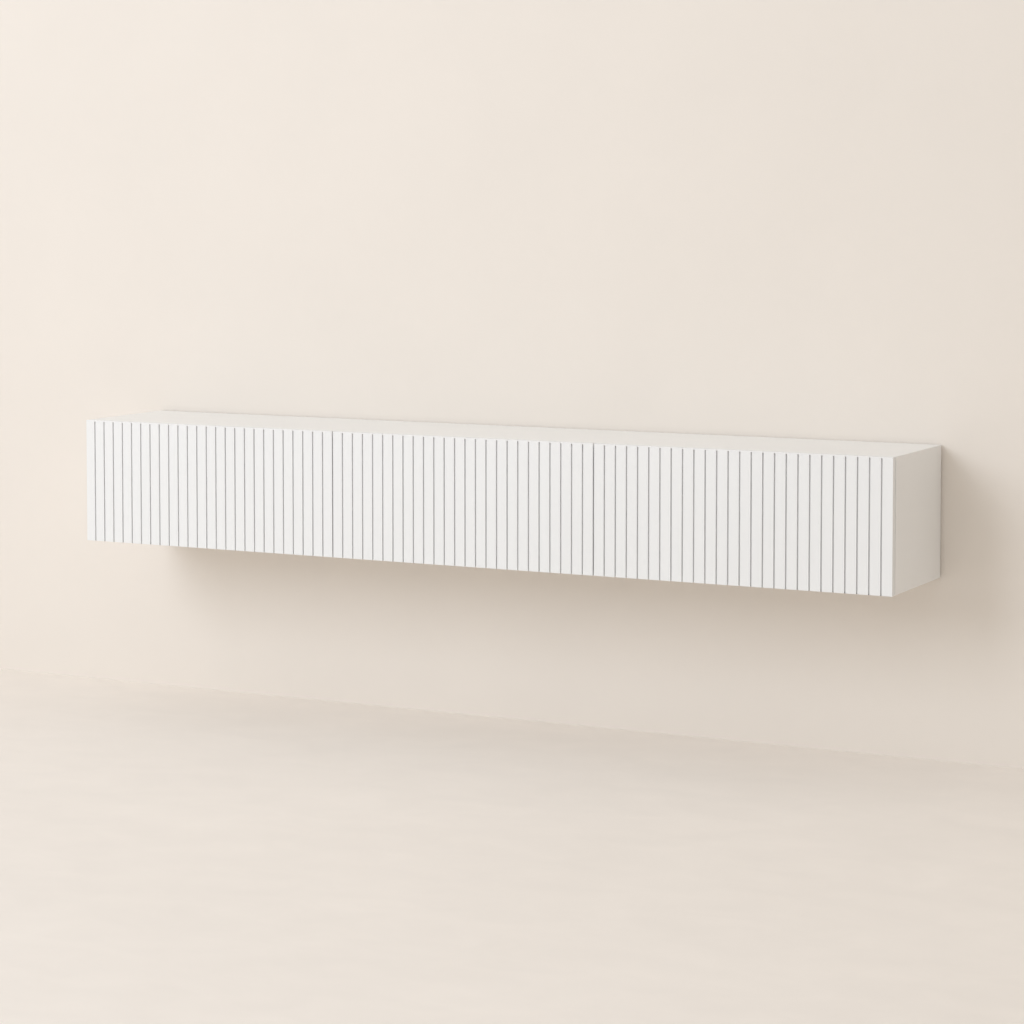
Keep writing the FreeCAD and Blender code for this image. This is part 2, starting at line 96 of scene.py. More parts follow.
class ConsoleSizes(bpy.types.PropertyGroup):
    """Sizes of the console's fine detail"""

    outer_slats: IntProperty(
        name="Slats, outer flaps", description="Slats on the left and the right flap", default=26, min=2
    )
    middle_slats: IntProperty(
        name="Slats, middle flap", description="Slats on the middle flap", default=25, min=2
    )
    groove_width: FloatProperty(
        name="Groove width", description="Width of each groove in a flap", default=0.0032,
        unit="LENGTH", precision=4,
    )
    groove_depth: FloatProperty(
        name="Groove depth", description="Depth of each groove in a flap", default=0.006,
        unit="LENGTH", precision=4,
    )
    groove_stop: FloatProperty(
        name="Groove stop", description="Height of the unbroken rim above the grooves", default=0.003,
        unit="LENGTH", precision=4,
    )
    slat_arris: FloatProperty(
        name="Slat arris", description="Rounding of the slats' edges", default=0.0005,
        unit="LENGTH", precision=4,
    )
    board_arris: FloatProperty(
        name="Board arris", description="Rounding of the carcass boards' edges", default=0.001,
        unit="LENGTH", precision=4,
    )
    steel_edge: FloatProperty(
        name="Steel edge", description="Rounding of the pressed steel's edges", default=0.00025,
        unit="LENGTH", precision=5,
    )
    moulded_edge: FloatProperty(
        name="Moulded edge", description="Rounding of the plastic parts' edges", default=0.0006,
        unit="LENGTH", precision=4,
    )
    mortise_length: FloatProperty(
        name="Mortise length", description="Length along the flap of the slot for a hinge", default=0.0058,
        unit="LENGTH", precision=4,
    )
    mortise_play: FloatProperty(
        name="Mortise play", description="Room between a hinge's eyes and the slot", default=0.0005,
        unit="LENGTH", precision=4,
    )
    mortise_rise: FloatProperty(
        name="Mortise rise", description="Height of the slot's top above the floor board", default=0.0165,
        unit="LENGTH", precision=4,
    )
    eye_radius: FloatProperty(
        name="Hinge eye radius", description="Radius of the hinges' eyes", default=0.004,
        unit="LENGTH", precision=4,
    )
    hinge_plate: FloatProperty(
        name="Hinge plate", description="Thickness of the hinges' plates on the carcass", default=0.0025,
        unit="LENGTH", precision=4,
    )
    bracket_sheet: FloatProperty(
        name="Bracket sheet", description="Thickness of the lid stays' brackets", default=0.0025,
        unit="LENGTH", precision=4,
    )
    screw_radius: FloatProperty(
        name="Screw head radius", description="Radius of the wood screws' heads", default=0.0033,
        unit="LENGTH", precision=4,
    )
    screw_height: FloatProperty(
        name="Screw head height", description="Height of the wood screws' heads", default=0.0016,
        unit="LENGTH", precision=4,
    )


class ConsoleFinishes(bpy.types.PropertyGroup):
    """Colours and surface of the console's finishes"""

    flap_lacquer: FloatVectorProperty(
        name="Flap lacquer", description="Colour of the grooved flaps", subtype="COLOR",
        default=(0.833, 0.839, 0.839), min=0, max=1,
    )
    carcass_lacquer: FloatVectorProperty(
        name="Carcass lacquer", description="Colour of the boards and dividers", subtype="COLOR",
        default=(0.9, 0.9, 0.889), min=0, max=1,
    )
    back_board_foil: FloatVectorProperty(
        name="Back board foil", description="Colour of the thin back boards", subtype="COLOR",
        default=(0.78, 0.77, 0.75), min=0, max=1,
    )
    beech: FloatVectorProperty(
        name="Beech", description="Colour of the loose tongues in the mitres", subtype="COLOR",
        default=(0.56, 0.36, 0.2), min=0, max=1,
    )
    zinc_plated_steel: FloatVectorProperty(
        name="Zinc plating", description="Colour of the rail and the hangers' steel", subtype="COLOR",
        default=(0.62, 0.64, 0.66), min=0, max=1,
    )
    nickel_plated_steel: FloatVectorProperty(
        name="Nickel plating", description="Colour of the hinges and lid stays", subtype="COLOR",
        default=(0.7, 0.68, 0.65), min=0, max=1,
    )
    white_plastic: FloatVectorProperty(
        name="White plastic", description="Colour of the hangers' cases, latches and grommets",
        subtype="COLOR", default=(0.8, 0.8, 0.78), min=0, max=1,
    )
    grey_plastic: FloatVectorProperty(
        name="Grey plastic", description="Colour of the dampers and plungers", subtype="COLOR",
        default=(0.2, 0.21, 0.22), min=0, max=1,
    )
    buffer_rubber: FloatVectorProperty(
        name="Rubber", description="Colour of the wall buffers", subtype="COLOR",
        default=(0.035, 0.034, 0.033), min=0, max=1,
    )
    lacquer_ripple: FloatProperty(
        name="Lacquer ripple", description="Height of the sprayed lacquer's ripple", default=0.00002,
        unit="LENGTH", precision=6,
    )


class ConsoleStage(bpy.types.PropertyGroup):
    """The room, the light and the camera"""

    floor_drop: FloatProperty(
        name="Floor drop", description="From the wall rail's screws down to the floor", default=0.647,
        unit="LENGTH",
    )
    room_reach: FloatProperty(
        name="Room reach", description="How far the wall and the floor run", default=9.0, unit="LENGTH"
    )
    wall_colour: FloatVectorProperty(
        name="Wall", description="Colour of the wall", subtype="COLOR",
        default=(0.816, 0.762, 0.701), min=0, max=1,
    )
    floor_colour: FloatVectorProperty(
        name="Floor", description="Colour of the floor", subtype="COLOR",
        default=(0.916, 0.864, 0.809), min=0, max=1,
    )
    sky_strength: FloatProperty(
        name="Sky", description="Strength of the soft light from all sides", default=0.48, min=0
    )
    sky_colour: FloatVectorProperty(
        name="Sky colour", description="Colour of the soft light from all sides", subtype="COLOR",
        default=(1.0, 0.962, 0.912), min=0, max=1,
    )
    sky_lean: FloatVectorProperty(
        name="Sky lean", description="How much more soft light comes from the right, the rear and above",
        subtype="XYZ", default=(-0.6, -0.501, 0.5), min=-1, max=1,
    )
    lamp_power: FloatProperty(
        name="Lamp", description="Power of the large soft lamp", default=210.0, min=0, unit="POWER"
    )
    lamp_colour: FloatVectorProperty(
        name="Lamp colour", description="Colour of the large soft lamp", subtype="COLOR",
        default=(0.845, 0.909, 1.0), min=0, max=1,
    )
    lamp_size: FloatProperty(
        name="Lamp size", description="Side of the large soft lamp", default=3.8, unit="LENGTH"
    )
    lamp_place: FloatVectorProperty(
        name="Lamp place", description="Place of the large soft lamp", subtype="TRANSLATION",
        unit="LENGTH", default=(-2.9, -6.3, 3.0),
    )
    camera_place: FloatVectorProperty(
        name="Camera place", description="Place of the camera", subtype="TRANSLATION", unit="LENGTH",
        default=(2.995, -5.942, 0.646),
    )
    camera_turn: FloatProperty(
        name="Camera turn", description="Turn of the camera to the left of the wall's normal",
        default=math.radians(27.0), subtype="ANGLE", unit="ROTATION",
    )
    camera_dip: FloatProperty(
        name="Camera dip", description="How far the camera looks down", default=math.radians(3.21),
        subtype="ANGLE", unit="ROTATION",
    )
    sensor: FloatProperty(
        name="Sensor", description="Width of the camera's sensor", default=36.0, unit="CAMERA"
    )
    lens: FloatProperty(name="Lens", description="Focal length", default=97.17, unit="CAMERA")
    lens_shift: FloatProperty(
        name="Lens shift", description="Vertical shift, as a share of the picture's width", default=-0.166
    )


# Work in object and edit mode

def make_active(piece):
    """Leave edit mode and select one piece alone."""
    if bpy.context.object and bpy.context.object.mode != "OBJECT":
        bpy.ops.object.mode_set(mode="OBJECT")
    bpy.ops.object.select_all(action="DESELECT")
    if piece:
        piece.select_set(True)
        bpy.context.view_layer.objects.active = piece


def name_new(name):
    """Name the piece that was just added."""
    piece = bpy.context.object
    piece.name = name
    piece.data.name = name
    return piece


def apply_place(piece):
    """Move a piece's place, turn and size into its mesh."""
    make_active(piece)
    bpy.ops.object.transform_apply(location=True, rotation=True, scale=True)


def pick(piece, kind, wanted):
    """In edit mode, select the vertices, edges or faces that are wanted and say how many there are."""
    bpy.ops.mesh.select_mode(type=kind)
    bpy.ops.mesh.select_all(action="DESELECT")
    mesh = bmesh.from_edit_mesh(piece.data)
    parts = {"VERT": mesh.verts, "EDGE": mesh.edges, "FACE": mesh.faces}[kind]
    chosen = [part for part in parts if wanted(part)]
    for part in chosen:
        part.select_set(True)
    bmesh.update_edit_mesh(piece.data)
    return len(chosen)


def cut(place, normal, **options):
    """In edit mode, cut everything along a plane."""
    bpy.ops.mesh.select_all(action="SELECT")
    bpy.ops.mesh.bisect(plane_co=place, plane_no=normal, **options)


def add_box(name, low, high):
    """A box between two corners."""
    low, high = Vector(low), Vector(high)
    bpy.ops.mesh.primitive_cube_add(size=1, location=(low + high) / 2, scale=high - low)
    piece = name_new(name)
    apply_place(piece)
    return piece


def hollow_out(piece, cutter):
    """Cut one piece's shape out of another and remove the cutter."""
    make_active(piece)
    modifier = piece.modifiers.new("Cut", "BOOLEAN")
    modifier.operation = "DIFFERENCE"
    modifier.solver = "EXACT"
    modifier.object = cutter
    bpy.ops.object.modifier_apply(modifier=modifier.name)
    bpy.data.objects.remove(cutter)


def ease_edges(piece, width, segments=2, over=math.radians(30)):
    """Round every edge that is sharper than an angle."""
    make_active(piece)
    modifier = piece.modifiers.new("Ease", "BEVEL")
    modifier.width = width
    modifier.segments = segments
    modifier.limit_method = "ANGLE"
    modifier.angle_limit = over
    modifier.use_clamp_overlap = True
    bpy.ops.object.modifier_apply(modifier=modifier.name)


def ease_outer_edges(piece, width, segments=2, over=math.radians(30)):
    """Round the edges that stand out and leave the inner corners as they are."""
    make_active(piece)
    bpy.ops.object.mode_set(mode="EDIT")

    def stands_out(edge):
        return edge.is_convex and edge.calc_face_angle(0) > over

    if not pick(piece, "EDGE", stands_out):
        raise RuntimeError(piece.name + ": no edge to round")
    bpy.ops.mesh.bevel(offset=width, segments=segments, affect="EDGES", clamp_overlap=True)
    bpy.ops.object.mode_set(mode="OBJECT")


def shade(piece, crease=math.radians(50)):
    """Smooth shading that keeps large flat faces flat and edges beyond the crease angle sharp."""
    make_active(piece)
    bpy.ops.object.shade_smooth_by_angle(angle=crease)
    modifier = piece.modifiers.new("Normals", "WEIGHTED_NORMAL")
    modifier.keep_sharp = True
    bpy.ops.object.modifier_apply(modifier=modifier.name)


def dress(piece, slot, body, *stands_for):
    """Give a finished piece its material slot and the body that it moves with."""
    piece.data.materials.clear()
    piece.data.materials.append(bpy.data.materials[slot])
    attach(piece, body)
    if stands_for:
        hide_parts(*stands_for)


def merged_copy(node):
    """A copy of a CAD node with its triangles merged into whole faces."""
    piece = bpy.data.objects.new(node + "_eased", NODES[node].data.copy())
    bpy.context.scene.collection.objects.link(piece)
    make_active(piece)
    bpy.ops.mesh.customdata_custom_splitnormals_clear()
    bpy.ops.object.mode_set(mode="EDIT")
    bpy.ops.mesh.select_mode(type="VERT")
    bpy.ops.mesh.select_all(action="SELECT")
    bpy.ops.mesh.remove_doubles(threshold=TOUCHING)
    bpy.ops.mesh.dissolve_limited(angle_limit=FLAT)
    bpy.ops.object.mode_set(mode="OBJECT")
    return piece


def ease_node(node, width, segments=2, ease=ease_edges):
    """Stand in for a CAD node with the same shape, its edges rounded."""
    piece = merged_copy(node)
    ease(piece, width, segments)
    shade(piece)
    dress(piece, SLOT_OF[node], BODY_OF[node], node)


def seat(template, spots, name, slot, body):
    """Copy a piece to each spot, turned to look that spot's way and spun, and join the copies."""
    copies = []
    for number, (place, way) in enumerate(spots):
        make_active(template)
        bpy.ops.object.duplicate(linked=False)
        turned = Vector(way).to_track_quat("Z", "Y").to_matrix().to_4x4()
        spun = Matrix.Rotation(number * GOLDEN_TURN, 4, "Z")
        bpy.context.object.matrix_world = Matrix.Translation(place) @ turned @ spun
        apply_place(bpy.context.object)
        copies.append(bpy.context.object)
    make_active(copies[0])
    for piece in copies:
        piece.select_set(True)
    bpy.ops.object.join()
    dress(name_new(name), slot, body)


def inner_side(node, side):
    """The place along X where a piece ends on the side that its upright face looks to."""
    low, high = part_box(node)
    return high.x if side > 0 else low.x


def face_along(end, distance, y, z):
    """A point at a distance along X from an upright face, on the side that it looks to."""
    face, side = end
    return Vector((face + side * distance, y, z))


# Finishes

class Finish:
    """A procedural material that is laid on in Object coordinates."""

    def __init__(self, name):
        self.material = bpy.data.materials.get(name) or bpy.data.materials.new(name)
        self.material.use_nodes = True
        self.nodes = self.material.node_tree.nodes
        self.links = self.material.node_tree.links
        self.nodes.clear()
        self.output = self.nodes.new("ShaderNodeOutputMaterial")
        self.shader = self.nodes.new("ShaderNodeBsdfPrincipled")
        self.links.new(self.shader.outputs["BSDF"], self.output.inputs["Surface"])
        self.place = self.nodes.new("ShaderNodeTexCoord")
        self.normal = None

    def texture(self, kind, scale):
        """A texture that is laid on at a scale."""
        mapping = self.nodes.new("ShaderNodeMapping")
        mapping.inputs["Scale"].default_value = scale
        texture = self.nodes.new(kind)
        texture.inputs["Scale"].default_value = 1
        self.links.new(self.place.outputs["Object"], mapping.inputs["Vector"])
        self.links.new(mapping.outputs["Vector"], texture.inputs["Vector"])
        return texture

    def noise(self, size, stretch=(1, 1, 1), detail=2.0, rough=0.5, twist=0.0):
        """Cloudy noise whose lumps are about this size, in metres, stretched along each axis."""
        clouds = self.texture("ShaderNodeTexNoise", [1 / (size * s) for s in stretch])
        clouds.inputs["Detail"].default_value = detail
        clouds.inputs["Roughness"].default_value = rough
        clouds.inputs["Distortion"].default_value = twist
        return clouds.outputs["Fac"]

    def cells(self, size, feature="F1"):
        """Cells of about this size, in metres, with a colour each and the distance from their middle."""
        pattern = self.texture("ShaderNodeTexVoronoi", [1 / size] * 3)
        pattern.feature = feature
        return pattern.outputs

    def spread(self, value, low, high, start=0.3, end=0.7):
        """The same pattern, spread between two other values."""
        node = self.nodes.new("ShaderNodeMapRange")
        node.inputs["From Min"].default_value = start
        node.inputs["From Max"].default_value = end
        node.inputs["To Min"].default_value = low
        node.inputs["To Max"].default_value = high
        self.links.new(value, node.inputs["Value"])
        return node.outputs["Result"]

    def mix(self, blend):
        """The sockets of a new mix of two colours: its factor, both colours and its result."""
        node = self.nodes.new("ShaderNodeMix")
        node.data_type = "RGBA"
        node.blend_type = blend
        return node.inputs[0], node.inputs[6], node.inputs[7], node.outputs[2]

    def tint(self, value, first, second):
        """A colour that goes from the first to the second with the pattern."""
        factor, one, two, result = self.mix("MIX")
        one.default_value = (*first, 1)
        two.default_value = (*second, 1)
        self.links.new(value, factor)
        return result

    def shaded(self, colour, value, low, high):
        """A colour with its brightness multiplied by the pattern, from low to high."""
        factor, one, two, result = self.mix("MULTIPLY")
        factor.default_value = 1
        self.links.new(colour, one)
        self.links.new(self.spread(value, low, high), two)
        return result

    def relief(self, value, height):
        """Raise the surface by the pattern, over any relief that is there already."""
        node = self.nodes.new("ShaderNodeBump")
        node.inputs["Strength"].default_value = 1
        node.inputs["Distance"].default_value = height
        self.links.new(value, node.inputs["Height"])
        if self.normal:
            self.links.new(self.normal, node.inputs["Normal"])
        self.normal = node.outputs["Normal"]

    def finish(self, colour, roughness, **constants):
        """Join the patterns to the shader and set what is the same all over."""
        self.links.new(colour, self.shader.inputs["Base Color"])
        self.links.new(roughness, self.shader.inputs["Roughness"])
        if self.normal:
            self.links.new(self.normal, self.shader.inputs["Normal"])
        for socket, value in constants.items():
            self.shader.inputs[socket.replace("_", " ")].default_value = value
        return self.material


def scaled(colour, share):
    """A colour made lighter or darker by a share."""
    return [min(1.0, channel * share) for channel in colour]


def satin_lacquer(name, colour, ripple):
    """Sprayed satin lacquer: a fine ripple, a trace of dust and a slow drift of tone."""
    finish = Finish(name)
    drift = finish.noise(0.45, detail=1)
    tone = finish.tint(finish.spread(drift, 0, 1), scaled(colour, 0.991), scaled(colour, 1.005))
    dust = finish.noise(0.0035, detail=4, rough=0.7)
    tone = finish.shaded(tone, dust, 0.992, 1.0)
    sheen = finish.spread(finish.noise(0.07, detail=3, twist=0.4), 0.36, 0.47)
    finish.relief(finish.noise(0.0016, detail=1), ripple)
    finish.relief(finish.noise(0.012, detail=1), ripple * 2)
    return finish.finish(tone, sheen, IOR=1.49)


def printed_foil(name, colour):
    """White foil on a thin board, pressed with short fine pores along its length."""
    finish = Finish(name)
    pores = finish.noise(0.0007, stretch=(14, 1, 1), detail=3, rough=0.6)
    tone = finish.tint(finish.spread(pores, 0, 1), scaled(colour, 0.95), colour)
    clouds = finish.noise(0.18, stretch=(3, 1, 1), detail=2)
    tone = finish.shaded(tone, clouds, 0.97, 1.0)
    sheen = finish.spread(finish.noise(0.05, detail=2), 0.52, 0.66)
    finish.relief(pores, 0.00004)
    return finish.finish(tone, sheen, IOR=1.47)


def planed_beech(name, colour):
    """Planed beech with a straight grain and short dark flecks."""
    finish = Finish(name)
    grain = finish.noise(0.0022, stretch=(1, 30, 1), detail=4, rough=0.6)
    tone = finish.tint(finish.spread(grain, 0, 1), scaled(colour, 0.78), scaled(colour, 1.12))
    flecks = finish.noise(0.0006, stretch=(1, 6, 1), detail=1)
    tone = finish.shaded(tone, finish.spread(flecks, 0, 1, 0.62, 0.7), 1.0, 0.72)
    sheen = finish.spread(grain, 0.5, 0.66)
    finish.relief(grain, 0.00006)
    return finish.finish(tone, sheen, IOR=1.45)


def plated_steel(name, colour, grain_size, spangle, shine):
    """Plated sheet: rolling marks along its length, faint spangle and finger-dulled patches."""
    finish = Finish(name)
    crystal = finish.cells(spangle)["Color"]
    grey = finish.nodes.new("ShaderNodeRGBToBW")
    finish.links.new(crystal, grey.inputs["Color"])
    speckle = finish.spread(grey.outputs["Val"], 0, 1, 0, 1)
    tone = finish.tint(speckle, scaled(colour, 0.93), scaled(colour, 1.04))
    patches = finish.noise(0.03, detail=3, twist=0.6)
    tone = finish.shaded(tone, patches, 0.93, 1.0)
    marks = finish.noise(grain_size, stretch=(18, 1.5, 1.5), detail=3, rough=0.65)
    sheen = finish.spread(marks, shine, shine + 0.16)
    finish.relief(marks, 0.000012)
    return finish.finish(tone, sheen, Metallic=1.0)


def moulded_plastic(name, colour, grain_size, roughness):
    """Moulded plastic with the fine pitted skin of a spark-eroded mould, its pits painted a little darker as
    painted shade.
    """
    finish = Finish(name)
    pits_with_painted_shade = finish.cells(grain_size, "SMOOTH_F1")["Distance"]
    clouds = finish.noise(0.02, detail=2)
    tone = finish.tint(finish.spread(clouds, 0, 1), scaled(colour, 0.95), scaled(colour, 1.02))
    # Painted shade: the colour is darkened by up to 5 % in the pits' hollows, where the bump sinks
    tone = finish.shaded(tone, pits_with_painted_shade, 0.95, 1.0)
    sheen = finish.spread(finish.noise(0.006, detail=2), roughness - 0.05, roughness + 0.07)
    finish.relief(pits_with_painted_shade, 0.00003)
    return finish.finish(tone, sheen, IOR=1.5)


def dusty_rubber(name, colour):
    """Soft rubber with a matte bloom."""
    finish = Finish(name)
    bloom = finish.noise(0.004, detail=5, rough=0.7)
    tone = finish.tint(finish.spread(bloom, 0, 1), scaled(colour, 0.8), scaled(colour, 1.9))
    sheen = finish.spread(bloom, 0.7, 0.9)
    finish.relief(finish.noise(0.0005, detail=2), 0.00005)
    return finish.finish(tone, sheen, IOR=1.52)


def one_sided(finish):
    """Let the camera look through a stage surface from behind. All other light meets it as before."""
    nodes, links = finish.nodes, finish.links
    side = nodes.new("ShaderNodeNewGeometry")
    ray = nodes.new("ShaderNodeLightPath")
    both = nodes.new("ShaderNodeMath")
    both.operation = "MULTIPLY"
    links.new(side.outputs["Backfacing"], both.inputs[0])
    links.new(ray.outputs["Is Camera Ray"], both.inputs[1])
    clear = nodes.new("ShaderNodeBsdfTransparent")
    mix = nodes.new("ShaderNodeMixShader")
    links.new(both.outputs[0], mix.inputs["Fac"])
    links.new(finish.shader.outputs["BSDF"], mix.inputs[1])
    links.new(clear.outputs["BSDF"], mix.inputs[2])
    links.new(mix.outputs["Shader"], finish.output.inputs["Surface"])


def rolled_wall_paint(name, colour):
    """Matt wall paint with a roller's stipple and soft clouds of tone."""
    finish = Finish(name)
    clouds = finish.noise(0.5, detail=4, rough=0.55, twist=0.3)
    tone = finish.tint(finish.spread(clouds, 0, 1), scaled(colour, 0.985), scaled(colour, 1.01))
    sheen = finish.spread(clouds, 0.85, 0.93)
    finish.relief(finish.noise(0.004, detail=3), 0.00015)
    material = finish.finish(tone, sheen, IOR=1.4)
    one_sided(finish)
    return material


def smooth_floor(name, colour):
    """A pale smooth floor with faint mottling."""
    finish = Finish(name)
    mottle = finish.noise(0.11, stretch=(1.5, 1, 1), detail=6, rough=0.62, twist=0.5)
    tone = finish.tint(finish.spread(mottle, 0, 1), scaled(colour, 0.975), scaled(colour, 1.01))
    clouds = finish.noise(0.9, detail=3)
    tone = finish.shaded(tone, clouds, 0.97, 1.0)
    sheen = finish.spread(mottle, 0.62, 0.75)
    finish.relief(mottle, 0.0001)
    material = finish.finish(tone, sheen, IOR=1.4)
    one_sided(finish)
    return material


# Pieces

def model_grooved_board(flap, slats, sizes):
    """One flap: its plan drawn down as a rim, and from there without the grooves."""
    low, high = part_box(flap + "_flap_panel")
    middle = (low + high) / 2
    bpy.ops.mesh.primitive_plane_add(size=1, location=(middle.x, middle.y, high.z))
    board = name_new(flap + "_flap_board")
    board.scale = (high.x - low.x, high.y - low.y, 1)
    apply_place(board)

    bpy.ops.object.mode_set(mode="EDIT")
    pitch = (high.x - low.x + sizes.groove_width) / slats
    ends = [low.x + number * pitch for number in range(1, slats)]
    for end in ends:
        cut((end - sizes.groove_width, 0, 0), (1, 0, 0))
        cut((end, 0, 0), (1, 0, 0))
    bottom, rim_low = low.y + sizes.groove_depth, high.z - sizes.groove_stop
    cut((0, bottom, 0), (0, 1, 0))
    bpy.ops.mesh.select_all(action="SELECT")
    bpy.ops.mesh.extrude_region_move(TRANSFORM_OT_translate={"value": (0, 0, rim_low - high.z)})

    def in_groove(place):
        return place.y < bottom and any(end - sizes.groove_width < place.x < end for end in ends)

    def below_rim(face):
        place = face.calc_center_median()
        return abs(place.z - rim_low) < TOUCHING and not in_groove(place)

    if pick(board, "FACE", below_rim) != 3 * len(ends) + 2:
        raise RuntimeError(flap + " flap: a groove is missing from its plan")
    bpy.ops.mesh.extrude_region_move(TRANSFORM_OT_translate={"value": (0, 0, low.z - rim_low)})
    bpy.ops.mesh.select_all(action="SELECT")
    bpy.ops.mesh.normals_make_consistent(inside=False)

    round_foot(PIVOT_OF[flap + "_flap_hinge"], low.z, high.y)
    bpy.ops.mesh.select_all(action="SELECT")
    bpy.ops.mesh.dissolve_limited(angle_limit=FLAT)
    bpy.ops.object.mode_set(mode="OBJECT")
    return board


def round_foot(pivot, underside, inner_face, steps=8):
    """In edit mode, round the lower inner edge about the pivot line by cuts that touch its circle."""
    radius = pivot.z - underside
    last = math.asin((inner_face - pivot.y) / radius)
    for step in range(steps):
        angle = last * (step + 0.5) / steps
        normal = Vector((0, math.sin(angle), -math.cos(angle)))
        cut(pivot + radius * normal, normal, clear_outer=True, use_fill=True)


def cut_mortise(board, flap, end, sizes):
    """Cut the slot that a hinge's eyes turn in."""
    low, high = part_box(flap + "_flap_panel")
    pivot = PIVOT_OF[flap + "_flap_hinge"]
    near = face_along(end, -sizes.mortise_play, 0, 0).x
    far = face_along(end, sizes.mortise_length - sizes.mortise_play, 0, 0).x
    past = sizes.eye_radius
    cutter = add_box(
        "mortise",
        (min(near, far), pivot.y - sizes.eye_radius - sizes.mortise_play, low.z - past),
        (max(near, far), high.y + past, FLOOR_TOP + sizes.mortise_rise),
    )
    hollow_out(board, cutter)


def ease_board(node, runs_along, sizes):
    """Stand in for a carcass board, its long front and rear edges rounded."""
    piece = merged_copy(node)
    low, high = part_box(node)
    bpy.ops.object.mode_set(mode="EDIT")

    def long_edge(edge):
        ends = [vertex.co for vertex in edge.verts]
        along = (ends[1] - ends[0]).normalized()
        on_rim = any(all(abs(end.y - y) < TOUCHING for end in ends) for y in (low.y, high.y))
        return on_rim and abs(along[runs_along]) > IN_LINE

    if not pick(piece, "EDGE", long_edge):
        raise RuntimeError(node + ": no long edge to round")
    bpy.ops.mesh.bevel(offset=sizes.board_arris, segments=3, affect="EDGES", clamp_overlap=True)
    bpy.ops.object.mode_set(mode="OBJECT")
    shade(piece)
    dress(piece, SLOT_OF[node], BODY_OF[node], node)


def start_head(name, sides, radius, height):
    """An upright cylinder on the origin, left in edit mode."""
    bpy.ops.mesh.primitive_cylinder_add(
        vertices=sides, radius=radius, depth=height, location=(0, 0, height / 2)
    )
    head = name_new(name)
    apply_place(head)
    bpy.ops.object.mode_set(mode="EDIT")
    return head


def start_round_head(name, sides, radius, height, rim, segments):
    """A cylinder on the origin with its upper rim rounded."""
    head = start_head(name, sides, radius, height)
    pick(head, "EDGE", lambda edge: all(vertex.co.z > height - TOUCHING for vertex in edge.verts))
    bpy.ops.mesh.bevel(offset=rim, segments=segments, affect="EDGES")
    bpy.ops.object.mode_set(mode="OBJECT")
    return head


def model_screw_head(radius, height):
    """A pan head with a rounded rim and a tapered cross recess, looking up from the origin."""
    rim = 0.6 * height
    head = start_round_head("screw_head", 16, radius, height, rim, 3)
    arm, blade, depth, taper = 0.55 * radius, 0.15 * radius, 0.7 * height, 0.6
    for length, width in ((arm, blade), (blade, arm)):
        cutter = add_box("recess", (-length, -width, height - depth), (length, width, height + depth))
        bpy.ops.object.mode_set(mode="EDIT")
        pick(cutter, "FACE", lambda face: face.normal.z < -FACING)
        bpy.ops.transform.resize(value=(taper, taper, 1), center_override=(0, 0, 0))
        bpy.ops.object.mode_set(mode="OBJECT")
        hollow_out(head, cutter)
    bpy.ops.object.shade_smooth_by_angle(angle=math.radians(35))
    return head


def model_rivet_head(radius, height):
    """A low domed rivet head, looking up from the origin."""
    dome = 0.9 * height
    head = start_round_head("rivet_head", 24, radius, height, dome, 4)
    bpy.ops.object.shade_smooth_by_angle(angle=math.radians(40))
    return head


def model_hex_nut(radius, height):
    """A six-sided nut with turned-down corners and a stud end, looking up from the origin."""
    nut = start_head("hex_nut", 6, radius, height)
    pick(nut, "FACE", lambda face: face.normal.z > FACING)
    chamfer, chamfer_rise = 0.12 * radius, 0.12 * height
    flat, stud_rise, arris = 0.3 * radius, 0.2 * height, 0.05 * radius
    bpy.ops.mesh.inset(thickness=chamfer, depth=0)
    bpy.ops.transform.translate(value=(0, 0, chamfer_rise))
    bpy.ops.mesh.inset(thickness=flat, depth=0)
    bpy.ops.mesh.extrude_region_move(TRANSFORM_OT_translate={"value": (0, 0, stud_rise)})
    bpy.ops.object.mode_set(mode="OBJECT")
    ease_edges(nut, arris)
    bpy.ops.object.shade_smooth_by_angle(angle=math.radians(35))
    return nut


class CONSOLE_OT_finishes(bpy.types.Operator):
    """Lay the lacquers, platings, plastics and other finishes on every piece"""

    bl_idname = "console.finishes"
    bl_label = "Finishes"
    bl_options = {"REGISTER", "UNDO"}

    def execute(self, context):
        colours = context.scene.console_finishes
        satin_lacquer("flap_lacquer", colours.flap_lacquer, colours.lacquer_ripple)
        satin_lacquer("carcass_lacquer", colours.carcass_lacquer, colours.lacquer_ripple)
        printed_foil("back_board_foil", colours.back_board_foil)
        planed_beech("beech", colours.beech)
        zinc, nickel = colours.zinc_plated_steel, colours.nickel_plated_steel
        plated_steel("zinc_plated_steel", zinc, grain_size=0.0012, spangle=0.009, shine=0.32)
        plated_steel("nickel_plated_steel", nickel, grain_size=0.0006, spangle=0.002, shine=0.2)
        moulded_plastic("white_plastic", colours.white_plastic, grain_size=0.0004, roughness=0.48)
        moulded_plastic("grey_plastic", colours.grey_plastic, grain_size=0.0003, roughness=0.42)
        dusty_rubber("buffer_rubber", colours.buffer_rubber)
        return {"FINISHED"}


class CONSOLE_OT_grooved_flaps(bpy.types.Operator):
    """Model the three grooved flaps with eased slats, a rounded foot and slots for the hinges"""

    bl_idname = "console.grooved_flaps"
    bl_label = "Grooved Flaps"
    bl_options = {"REGISTER", "UNDO"}

    def execute(self, context):
        sizes = context.scene.console_sizes
        for flap, ends in FLAP_ENDS.items():
            slats = sizes.middle_slats if flap == "middle" else sizes.outer_slats
            board = model_grooved_board(flap, slats, sizes)
            for end in ends:
                cut_mortise(board, flap, end, sizes)
            ease_edges(board, sizes.slat_arris)
            shade(board)
            dress(board, "flap_lacquer", flap + "_flap", flap + "_flap_panel")
        return {"FINISHED"}


